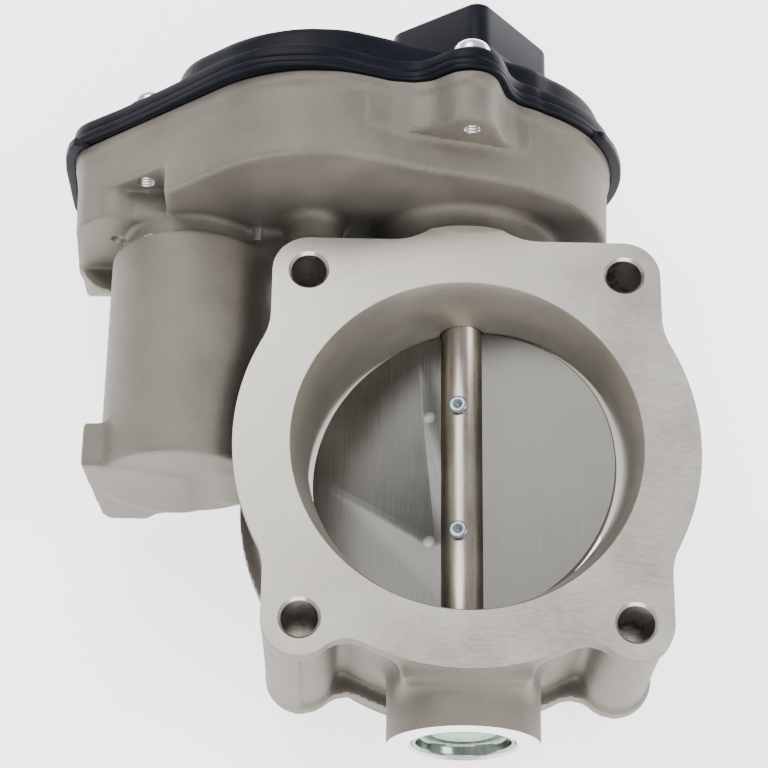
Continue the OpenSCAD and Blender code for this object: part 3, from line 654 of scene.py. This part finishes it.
def housing():
    f = Field((-108, -74, -3), (61, 90, 98), VOXEL)
    plan = flange_outline()
    x_lo = -106

    def cyl_z(r, z0, z1, k, cx=0.0, cy=0.0, soft=0.0):
        f.add((cx - r, cy - r, z0), (cx + r, cy + r, z1),
              lambda x, y, z: slab(circle_distance(x, y, cx, cy, r), z, z0, z1, soft), k)

    def cyl_y(cx, d, r, y0, y1, k, soft=0.0):
        cz = BODY_LEN - d
        f.add((cx - r, y0, cz - r), (cx + r, y1, cz + r),
              lambda x, y, z: slab(circle_distance(x, z, cx, cz, r), y, y0, y1, soft), k)

    def box(lo, hi, k, soft=0.6):
        c = [(a + b) / 2 for a, b in zip(lo, hi)]
        h = [(b - a) / 2 - soft for a, b in zip(lo, hi)]

        def dist(x, y, z):
            q = [np.abs(v - m) - s for v, m, s in zip((x, y, z), c, h)]
            out = np.sqrt(sum(np.maximum(v, 0) ** 2 for v in q))
            return out + np.minimum(np.maximum(np.maximum(q[0], q[1]), q[2]), 0) - soft

        f.add(lo, hi, dist, k)

    def tray():
        """Gear tray with the corner pocket cut up into it and the block behind the pocket."""
        def body(x, y, z):
            draft = 0.03 * (RIM_Y - y)
            return slab(tray_distance(x, BODY_LEN - z) + draft, y, TRAY_Y, RIM_Y + 1.6, 0.9)

        f.add((x_lo, TRAY_Y, 2), (42, RIM_Y + 1.6, 94), body, 3.0)
        f.cut((x_lo, 50, 52), (-76, 73, 90),
              lambda x, y, z: slab(poly_distance(x, BODY_LEN - z, POCKET_POLY), y, 40, 73, 0.3), 1.2)

        def wedge(x, y, z):
            under = (56.4 - y) + (26 - z) * 0.45
            flat = poly_distance(x, y, WEDGE_PLAN)
            return smax(slab(flat, z, 6.5, 25.7, 0.5), under, 0.8)

        f.add((x_lo, 55, 6), (-81, 66, 26), wedge, 1.2)

    # barrel with the bolt bosses, and the two flanges
    cyl_z(BARREL_R, 12, 62, 0)
    for sx in (-1, 1):
        for sy in (-1, 1):
            cyl_z(EAR_R - 1, 12, 62, 4.5, sx * BOLT_X, sy * BOLT_Y)
    for z0, z1 in ((BODY_LEN - 5, BODY_LEN + 2), (REAR_Z - 1, REAR_Z + 4)):
        f.add((-59, -59, z0), (59, 59, z1),
              lambda x, y, z, a=z0, b=z1: slab(poly_distance(x, y, plan), z, a, b, 0.5), 1.6)

    def corner(x, y, z):
        d = np.maximum(poly_distance(x, y, plan), np.maximum(x + BOLT_X - 0.2, y + 30))
        return slab(d, z, 12, 62, 0.2)

    f.add((-51, -57, 12), (-39, -29, 62), corner, 0.6)
    cyl_z(SPIGOT_R, -1, 14, 0)
    # shaft bosses
    cyl_y(0, SHAFT_D, LOW_BOSS_R, LOW_BOSS_Y - 1.2, -44, 5)
    box((-15.5, -60, 50), (15.5, -48, 60.5), 4, 1.5)
    cyl_y(0, SHAFT_D, UP_BOSS_R, 44, TRAY_Y + 2, 4)
    tray()
    # motor housing with its lug and webs
    cyl_y(MOTOR_X, MOTOR_D, 17.7, 50, TRAY_Y + 2, 1.5)
    cyl_y(MOTOR_X, MOTOR_D, MOTOR_R, -3, MOTOR_TOP_Y, 1.0, 1.3)
    f.add((-97, -3, 10), (-69, 9, 51),
          lambda x, y, z: slab(poly_distance(x, BODY_LEN - z, shrink(LUG_POLY, 1)) - 1,
                               y, -3, 9, 0.9), 2.2)
    box((-62, -3, 27), (-34, 62, 49), 5, 2)
    cyl_y(IDLER_X, IDLER_D, 7.3, 28, TRAY_Y + 2, 3)
    box((-58, 30, 41), (-40, 65, 47), 4, 1.5)
    # front screw boss and the bead round the tray's edge
    f.add((-22, 74, 60), (12, RIM_Y + 1.6, 95),
          lambda x, y, z: slab(rim_distance(x, BODY_LEN - z), y, 74, RIM_Y + 1.6, 0.6), 0.8)

    def bead(x, y, z):
        grow = 0.8 - 0.3 * np.exp(-((y - 85.6) / 0.35) ** 2)
        return slab(rim_distance(x, BODY_LEN - z) - grow, y, 84.3, RIM_Y + 1.6, 0.6)

    f.add((x_lo - 0.4, 84.2, 2), (43, RIM_Y + 1.6, 95), bead, 1.0)
    # relief ring in the end of the spigot
    f.cut((-51, -51, -4), (51, 51, 9),
          lambda x, y, z: slab(np.abs(np.hypot(x, y) - 47) - 3.5, z, -6, 9, 1.5), 0.8)

    verts, quads = surface(f)
    obj = new_mesh("casting", verts, quads, [CAST])

    cuts = [
        block("face_cut", (-70, -60, BODY_LEN), (70, 58.4, BODY_LEN + 8), FACED),
        block("spigot_cut", (-70, -70, -9), (70, 62, 0), FACED),
        block("boss_cut", (-22, LOW_BOSS_Y - 6, 10), (22, LOW_BOSS_Y, 62.5), RINGED),
        block("rim_cut", (-110, RIM_Y, -2), (50, RIM_Y + 6, 98), FACED),
        lathe("bore_cut", [(0, -3), (40.4, -3), (40.4, 0), (BORE_R, 1), (BORE_R, BODY_LEN - TAPER),
                           (MOUTH_R - 0.1, BODY_LEN - 0.3), (MOUTH_R + 0.3, BODY_LEN + 0.1),
                           (MOUTH_R + 0.3, 66), (0, 66)], BORED, n=256),
        lathe("low_bore", [(0, -74), (13.9, -74), (13.9, -70.9), (12.75, -69.9), (12.75, -63.9),
                           (9, -63.9), (9, -50), (5.9, -50), (5.9, -34), (0, -34)],
              DRILLED, "Y", (0, SHAFT_D)),
        lathe("high_bore", [(0, 34), (5.9, 34), (5.9, 50), (9, 50), (9, FLOOR_Y + 1),
                            (0, FLOOR_Y + 1)], DRILLED, "Y", (0, SHAFT_D)),
        lathe("motor_bore", [(0, 0.5), (15.3, 0.5), (15.3, FLOOR_Y + 1), (0, FLOOR_Y + 1)],
              INSIDE, "Y", (MOTOR_X, MOTOR_D)),
        lathe("tool_hole", [(0, 60), (2.1, 60), (2.1, 65.7), (0, 66)], DRILLED, "Y",
              (-91, 20.6), 32),
    ]
    for sx in (-1, 1):
        for sy in (-1, 1):
            cuts.append(lathe("bolt_hole", [
                (0, 10), (5.0, 10), (5.0, REAR_Z), (4.25, REAR_Z + 0.7), (4.25, 50.6), (4.5, 51.1),
                (4.5, 62.3), (5.25, 63.05), (5.25, 66), (0, 66)], DRILLED, "Z",
                (sx * BOLT_X, sy * BOLT_Y), 64))
    tray = loft("tray_cut", tray_distance, (-30, 22),
                [(3.5, FLOOR_Y), (3.5, RIM_Y + 3)], INSIDE, 300)
    columns = [lathe("column", [(0, 60), (5.2, 60), (5.2, 95), (0, 95)], INSIDE, "Y", c, 40)
               for c in COVER_BOLTS]
    columns.append(lathe("idler_boss", [(0, 60), (5.6, 60), (5.6, 73), (0, 73)], INSIDE, "Y",
                         (IDLER_X, IDLER_D), 48))
    guard = [(-98, -24), (-98, 10.5), (-91, 9.9), (-86, 10.9), (-75.9, 9.9), (-75.9, -24)]
    lid = new_mesh("guard", [(x, y, BODY_LEN - d) for y in (60, 75.2) for x, d in guard],
                   [tuple(range(6)), tuple(range(6, 12))]
                   + [(i, (i + 1) % 6, (i + 1) % 6 + 6, i + 6) for i in range(6)], [INSIDE])
    outward(lid)
    carve(tray, columns + [lid])
    cuts.append(tray)
    for c in COVER_BOLTS:
        turns = [(0, 58)]
        y = 58.0
        while y < RIM_Y + 1:
            turns += [(2.15, y), (2.55, y + 0.4)]
            y += 0.8
        turns.append((0, y))
        cuts.append(lathe("thread", turns, DRILLED, "Y", c, 32))
    carve(obj, cuts)
    smooth(obj)
    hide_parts("housing")
    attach(obj, "body")
    return obj


# ---- cover ----

def gear_cover():
    rim = [(1.2, 87.62), (0.5, 87.62), (0.15, 87.85), (0.1, 88.5), (0.3, 88.7), (0.05, 88.95),
           (0.02, 89.9), (0.15, 90.1), (0.65, 90.25), (0.75, 90.55), (0.6, 90.85), (0.52, 91.2),
           (0.52, COVER_RIM_Y - 1.1), (0.7, COVER_RIM_Y - 0.5), (1.2, COVER_RIM_Y - 0.12),
           (2.0, COVER_RIM_Y)]
    lip = [(1.0, 86.85), (0.35, 86.95), (0.05, 87.3), (0.02, 88.9), (0.3, 89.3), (1.0, 89.38)]
    dome = [(0.0, COVER_RIM_Y - 1.5), (0.0, DOME_Y - 2.4), (0.12, DOME_Y - 1.4), (0.45, DOME_Y - 0.6),
            (1.1, DOME_Y - 0.15), (2.1, DOME_Y)]
    plug = [(0.0, DOME_Y - 1), (0.0, PLUG_Y - 0.8), (0.25, PLUG_Y - 0.25), (0.8, PLUG_Y)]
    collar = [(-1.4, DOME_Y - 1), (-1.35, DOME_Y + 0.9), (-1.0, DOME_Y + 1.5), (-0.2, DOME_Y + 1.6)]
    obj = loft("cover", cover_distance, (-30, 20), rim, COVER, 460)
    added = [loft("dome", dome_distance, DOME_C, dome, COVER, 400),
             loft("left_lip", left_lip_distance, (-103, 34), lip, COVER, 120, 40),
             loft("right_lip", right_lip_distance, (31, 24), lip, COVER, 160, 60),
             loft("collar", plug_distance, PLUG_C, collar, COVER, 120, 40),
             loft("shroud", plug_distance, PLUG_C, plug, COVER, 120, 40)]
    added += [lathe("pad", [(0, 93), (5.6, 93), (5.6, 94.7), (5.3, 95), (0, 95)], COVER, "Y", c, 48)
              for c in COVER_BOLTS]
    carve(obj, added, "UNION")
    columns = [lathe("column", [(0, 87), (5.2, 87), (5.2, 99), (0, 99)], UNDER, "Y", c, 40)
               for c in COVER_BOLTS]
    columns.append(lathe("column", [(0, 87), (5.4, 87), (5.4, 99), (0, 99)], UNDER, "Y",
                         (IDLER_X, IDLER_D), 40))
    room = loft("room", tray_distance, (-30, 22), [(3.4, 88.0), (3.4, 91.9)], UNDER, 300)
    top = loft("top", dome_distance, DOME_C, [(2.6, 91.6), (2.6, 98.5)], UNDER, 300)
    carve(room, [top], "UNION")
    carve(room, columns)
    cuts = [loft("skirt", rim_distance, (-30, 22), [(-1.3, 86), (-1.3, 87.8), (-0.4, 87.9),
                                                    (-0.4, 88.4)], UNDER, 400),
            room,
            loft("socket", plug_distance, PLUG_C, [(2.2, 103), (2.2, 117)], UNDER, 120, 40),
            lathe("pin_hole", [(0, 87.5), (3.05, 87.5), (3.05, 96), (0, 96)], UNDER, "Y",
                  (IDLER_X, IDLER_D), 40)]
    cuts += [lathe("screw_hole", [(0, 86), (2.8, 86), (2.8, 97), (0, 97)], UNDER, "Y", c, 32)
             for c in COVER_BOLTS]
    for ix in (-1, 0, 1):
        for iy in (-0.5, 0.5):
            u, v = ix * PIN_PITCH[0], iy * PIN_PITCH[1]
            x = PLUG_C[0] + u * math.cos(PLUG_A) - v * math.sin(PLUG_A)
            d = PLUG_C[1] + u * math.sin(PLUG_A) + v * math.cos(PLUG_A)
            cuts.append(lathe("pin_slot", [(0, 97), (0.8, 97), (0.8, 104), (0, 104)], UNDER, "Y",
                              (x, d), 16))
    carve(obj, cuts)
    smooth(obj, 32)
    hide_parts("gear_cover")
    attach(obj, "body")


def copies(obj, places, name):
    """One mesh with obj repeated at each (x, depth) of places."""
    verts, faces = [], []
    for x, d in places:
        n = len(verts)
        verts += [(v.co.x / MM + x, v.co.y / MM, v.co.z / MM - d) for v in obj.data.vertices]
        faces += [tuple(n + i for i in p.vertices) for p in obj.data.polygons]
    out = new_mesh(name, verts, faces, list(obj.data.materials))
    bpy.data.objects.remove(obj)
    return out


def cover_screws():
    thread = [(0, 76.0), (1.6, 76.0)]
    y = 76.4
    while y < 87:
        thread += [(2.0, y), (2.45, y + 0.4)]
        y += 0.8
    head = [(2.45, y), (2.45, 95.02), (4.5, 95.02), (4.7, 95.2), (4.7, 96.4), (4.6, 96.9),
            (4.3, 97.6), (3.85, 98.15), (3.2, 98.6), (2.5, 98.82), (1.5, 98.9), (0, 98.9)]
    screw = lathe("screw", thread + head, ZINC, "Y", (0, 0), 64)
    lobes = []
    for i in range(48):
        a = 2 * math.pi * i / 48
        lobes.append(((1.85 + 0.33 * math.cos(6 * a)) * math.cos(a),
                      (1.85 + 0.33 * math.cos(6 * a)) * math.sin(a)))
    recess = new_mesh("recess", [(x, y, BODY_LEN + z) for y in (97.05, 101) for x, z in lobes],
                      [tuple(range(48)), tuple(range(48, 96))]
                      + [(i, (i + 1) % 48, (i + 1) % 48 + 48, i + 48) for i in range(48)], [ZINC])
    outward(recess)
    carve(screw, [recess])
    obj = copies(screw, COVER_BOLTS, "cover_screw_set")
    smooth(obj, 30)
    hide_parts("cover_screws")
    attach(obj, "body")


def bearing_plug():
    """Pressed cup that closes the lower boss, with a rolled bead round its floor."""
    y0, y1 = LOW_BOSS_Y + 0.42, -65.22
    cup = [(0, y1), (11.6, y1), (12.3, y1 - 0.2), (12.68, y1 - 0.7), (12.68, y0 + 0.5),
           (12.5, y0 + 0.1), (12.1, y0 + 0.02), (11.75, y0 + 0.2), (11.55, y0 + 0.7),
           (11.5, y1 - 2.6), (11.2, y1 - 1.95), (10.4, y1 - 1.7), (9.4, y1 - 1.62),
           (8.9, y1 - 1.85), (8.3, y1 - 2.0), (7.7, y1 - 1.85), (7.2, y1 - 1.62), (0, y1 - 1.6)]
    obj = lathe("plug_cup", cup, ZINC_GREEN, "Y", (0, SHAFT_D), 128)
    smooth(obj, 50)
    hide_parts("bearing_plug")
    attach(obj, "body")


def tilted(obj):
    """Turns a piece built on the bore axis into the rest plane of the plate."""
    c, s = math.cos(PLATE_A), math.sin(PLATE_A)
    for v in obj.data.vertices:
        x, z = v.co.x, v.co.z
        v.co.x = x * c - z * s
        v.co.z = x * s + z * c + SHAFT_Z * MM
    obj.data.update()


def throttle_shaft():
    r = SHAFT_R
    body = [(0, -64.2), (r - 0.6, -64.2), (r, -63.6), (r, -40.1), (r - 0.06, -40), (r - 0.06, 40),
            (r, 40.1), (r, 81.4), (r - 0.6, 82), (0, 82)]
    obj = lathe("shaft", body, SHAFT, "Y", (0, SHAFT_D), 128)
    slot = block("slot", (-9, -39.8, -1.25), (9, 39.8, 1.25), SHAFT)
    cuts = [slot]
    for s in (-PLATE_SCREW_Y, PLATE_SCREW_Y):
        cuts.append(lathe("hole", [(0, -9), (4, -9), (4, -4.4), (2.05, -4.4), (2.05, 5.25),
                                   (2.5, 5.8), (2.5, 9), (0, 9)], SHAFT, "Z", (0, s), 48))
    for c in cuts:
        tilted(c)
    for s in (-1, 1):
        x = s * (SHAFT_R + 3.9)
        cuts.append(block("flat", (x - 5, 75, SHAFT_Z - 10), (x + 5, 83, SHAFT_Z + 10), SHAFT))
    cuts.append(lathe("centre", [(0, -66), (1.6, -66), (1.6, -61.6), (0, -61)], SHAFT, "Y",
                      (0, SHAFT_D), 32))
    carve(obj, cuts)
    smooth(obj)
    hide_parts("throttle_shaft")
    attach(obj, "throttle")


def throttle_plate():
    """Elliptical plate whose rim is a slice of a cylinder that fits the closed bore."""
    n, t = 256, 1.2
    r = BORE_R - 0.25
    ca, sa = math.cos(math.radians(5)), math.sin(math.radians(5))
    rows = [(-t, 0.25), (-t + 0.2, 0.0), (t - 0.2, 0.0), (t, 0.25)]
    verts, faces = [], []
    for w, cut in rows:
        for i in range(n):
            a = 2 * math.pi * i / n
            u = ((r - cut) * math.cos(a) + w * sa) / ca
            verts.append((u, (r - cut) * math.sin(a), w))
    for k in range(3):
        for i in range(n):
            j = (i + 1) % n
            faces.append((k * n + i, k * n + j, (k + 1) * n + j, (k + 1) * n + i))
    faces.append(tuple(range(n)))
    faces.append(tuple(range(3 * n, 4 * n)))
    obj = new_mesh("plate", verts, faces, [PLATE])
    outward(obj)
    carve(obj, [lathe("hole", [(0, -3), (2.05, -3), (2.05, 3), (0, 3)], PLATE, "Z", (0, s), 40)
                for s in (-PLATE_SCREW_Y, PLATE_SCREW_Y)])
    marks = [lathe("mark", [(0, 1.12), (1.35, 1.12), (1.75, 1.3), (0, 1.3)], PLATE_MARK, "Z",
                   (-8.4, s - 0.8), 32) for s in (-PLATE_SCREW_Y, PLATE_SCREW_Y)]
    carve(obj, marks)
    tilted(obj)
    smooth(obj)
    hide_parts("throttle_plate")
    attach(obj, "throttle")


def plate_screws():
    profile = [(0, -6.6), (3.4, -6.6), (3.8, -6.2), (3.8, -4.42), (2.0, -4.42), (2.0, 5.5),
               (2.35, 6.1), (2.38, 6.3), (2.15, 6.5), (1.5, 6.54), (0.75, 6.3), (0.3, 6.0), (0, 5.95)]
    screw = lathe("tip", profile, SCREW_TIP, "Z", (0, 0), 48)
    verts, faces = [], []
    for s in (-PLATE_SCREW_Y, PLATE_SCREW_Y):
        n = len(verts)
        verts += [(v.co.x / MM, v.co.y / MM + s, v.co.z / MM) for v in screw.data.vertices]
        faces += [tuple(n + i for i in p.vertices) for p in screw.data.polygons]
    bpy.data.objects.remove(screw)
    obj = new_mesh("plate_screw_pair", verts, faces, [SCREW_TIP])
    tilted(obj)
    smooth(obj, 40)
    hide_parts("plate_screws")
    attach(obj, "throttle")


def return_spring():
    """Wound wire from the anchor leg up to the gear, four turns."""
    wire, coil, n, m = 0.68, 10.6, 4 * 48, 10
    path = [Vector((10.5, 69.8, BODY_LEN - SHAFT_D - 12.8)), Vector((10.58, 69.8, SHAFT_Z - 1.5))]
    for i in range(n + 1):
        a = 2 * math.pi * i / 48
        path.append(Vector((coil * math.cos(a), 69.8 + 3.75 * i / n, SHAFT_Z + coil * math.sin(a))))
    verts, faces = [], []
    for i, p in enumerate(path):
        t = (path[min(i + 1, len(path) - 1)] - path[max(i - 1, 0)]).normalized()
        side = t.cross(Vector((0, 1, 0))).normalized()
        up = side.cross(t)
        for j in range(m):
            b = 2 * math.pi * j / m
            verts.append(tuple(p + side * (wire * math.cos(b)) + up * (wire * math.sin(b))))
    for i in range(len(path) - 1):
        for j in range(m):
            k = (j + 1) % m
            faces.append((i * m + j, i * m + k, (i + 1) * m + k, (i + 1) * m + j))
    faces.append(tuple(range(m)))
    faces.append(tuple(range(len(verts) - m, len(verts))))
    obj = new_mesh("wound_spring", verts, faces, [SPRING])
    outward(obj)
    smooth(obj, 50)
    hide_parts("return_spring")
    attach(obj, "body")


def repaint():
    """Detailed materials for the CAD pieces that are shown as they are."""
    table = {
        "cover_gasket": RUBBER, "connector_pins": BRASS, "sensor_board": BOARD,
        "sensor_chip": CHIP, "upper_bearing": BEARING, "lower_bearing": BEARING,
        "upper_seal": RUBBER, "lower_seal": RUBBER, "sector_gear": NYLON, "idler_gear": NYLON,
        "sensor_magnet": MAGNET, "motor_magnets": MAGNET, "spring_sleeve": NYLON,
        "stop_pin": BEARING, "idler_pin": BEARING, "idler_washer": BEARING, "motor_can": CAN,
        "motor_end_cap": CHIP, "motor_terminals": COPPER, "motor_brushes": MAGNET,
        "motor_plate": CAN, "motor_screws": ZINC, "armature": CORE, "commutator": COPPER,
        "motor_shaft": BEARING, "motor_pinion": BRASS,
    }
    for name, mat in table.items():
        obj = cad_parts[name]
        for slot in obj.material_slots:
            slot.material = mat
        if not obj.material_slots:
            obj.data.materials.append(mat)


housing()
gear_cover()
cover_screws()
bearing_plug()
throttle_shaft()
throttle_plate()
plate_screws()
return_spring()
repaint()

# ---- camera ----

CAMERA_PLACE = (-28.003, -210.433, 565.662)
CAMERA_LOOK = (0.01338, 0.40877, -0.91254)
CAMERA_ROLL = math.radians(0.7084)
SENSOR_MM, FOCAL_MM = 36.0, 104.246672


def camera():
    look = Vector(CAMERA_LOOK).normalized()
    right = look.cross(Vector((0, 1, 0))).normalized()
    up = right.cross(look)
    across = right * math.cos(CAMERA_ROLL) + up * math.sin(CAMERA_ROLL)
    above = up * math.cos(CAMERA_ROLL) - right * math.sin(CAMERA_ROLL)
    cam = bpy.data.objects.new("camera", bpy.data.cameras.new("camera"))
    bpy.context.scene.collection.objects.link(cam)
    cam.data.sensor_width = SENSOR_MM
    cam.data.lens = FOCAL_MM
    cam.data.clip_start, cam.data.clip_end = 0.05, 20
    turn = Matrix([across, above, -look]).transposed().to_4x4()
    turn.translation = Vector(CAMERA_PLACE) * MM
    cam.matrix_world = turn
    bpy.context.scene.camera = cam


def area(name, place, target, size, power, colour=(1, 1, 1)):
    lamp = bpy.data.lights.new(name, "AREA")
    lamp.shape = "RECTANGLE"
    lamp.size, lamp.size_y = size
    lamp.energy = power
    lamp.color = colour
    obj = bpy.data.objects.new(name, lamp)
    bpy.context.scene.collection.objects.link(obj)
    obj.location = place
    obj.rotation_euler = (Vector(target) - Vector(place)).to_track_quat("-Z", "Y").to_euler()
    return obj


camera()
aim = (-0.02, 0.01, 0.05)
area("key", (-0.4, 0.65, 1.0), aim, (0.7, 0.7), 10)
area("front", (0.1, -1.1, 0.6), aim, (1.2, 0.7), 9)
area("right", (0.75, -0.15, 1.0), aim, (0.5, 0.5), 6)
world = bpy.data.worlds.new("world")
bpy.context.scene.world = world
world.use_nodes = True
world.node_tree.nodes["Background"].inputs["Color"].default_value = (1, 1, 1, 1)
world.node_tree.nodes["Background"].inputs["Strength"].default_value = 0.75

floor_mat, _, _, paper = material("floor_paper")
paper.inputs["Base Color"].default_value = (0.96, 0.96, 0.96, 1)
paper.inputs["Roughness"].default_value = 0.9
paper.inputs["Emission Color"].default_value = (1, 1, 1, 1)
paper.inputs["Emission Strength"].default_value = 2.2
floor = new_mesh("floor", [(-3000, -3000, 0), (3000, -3000, 0), (3000, 3000, 0), (-3000, 3000, 0)],
                 [(0, 1, 2, 3)], [floor_mat])
